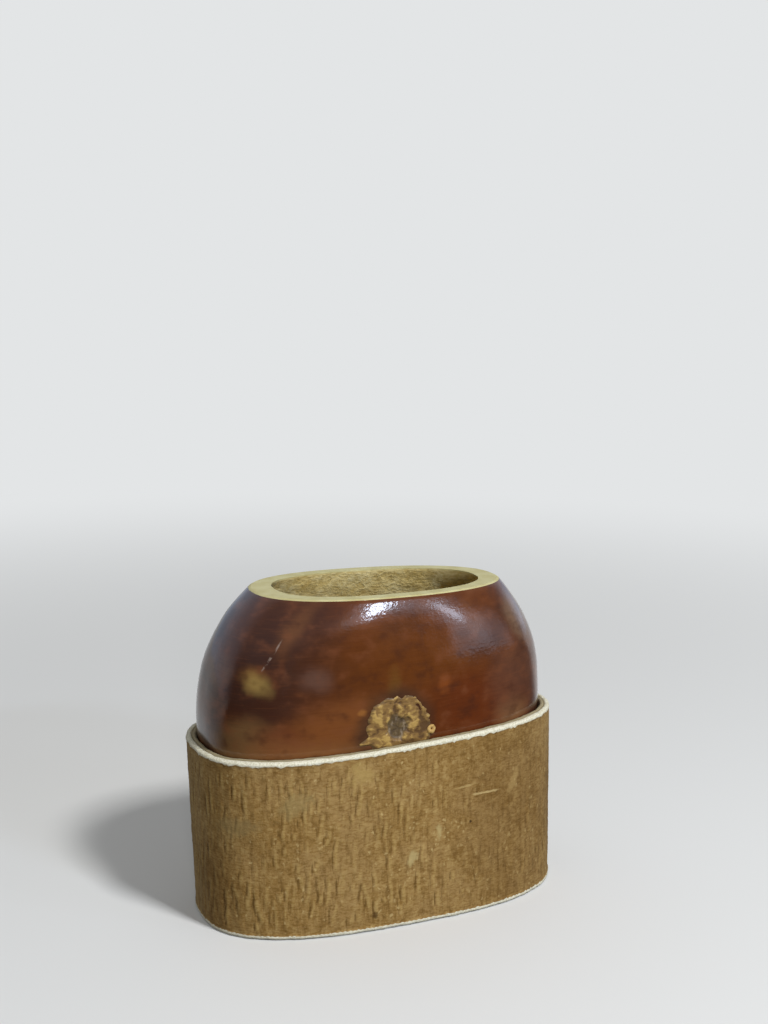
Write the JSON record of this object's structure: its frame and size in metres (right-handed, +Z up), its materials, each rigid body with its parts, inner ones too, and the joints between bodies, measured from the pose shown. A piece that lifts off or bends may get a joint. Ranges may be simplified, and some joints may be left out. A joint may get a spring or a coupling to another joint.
{
  "type": "mate gourd cup",
  "caption": "Empty mate cup: a flat polished gourd stood on its edge, cut open at the top and held in a thick rawhide band that serves as its foot.",
  "frame": {"origin": "on the surface it stands on, under the middle of the outline", "axes": "+X along the gourd's width, -Y towards the side with the blossom scar, +Z up out of the mouth"},
  "size_m": [0.1139, 0.0598, 0.0961],
  "materials": {
    "gourd_skin": "cured gourd shell, rubbed smooth and polished, dark red-brown",
    "raw_hide": "thick split cowhide, rough nap outside, pale cut edges"
  },
  "bodies": {
    "root": {"gourd": "gourd_skin", "leather_sleeve": "raw_hide"}
  },
  "joints": []
}
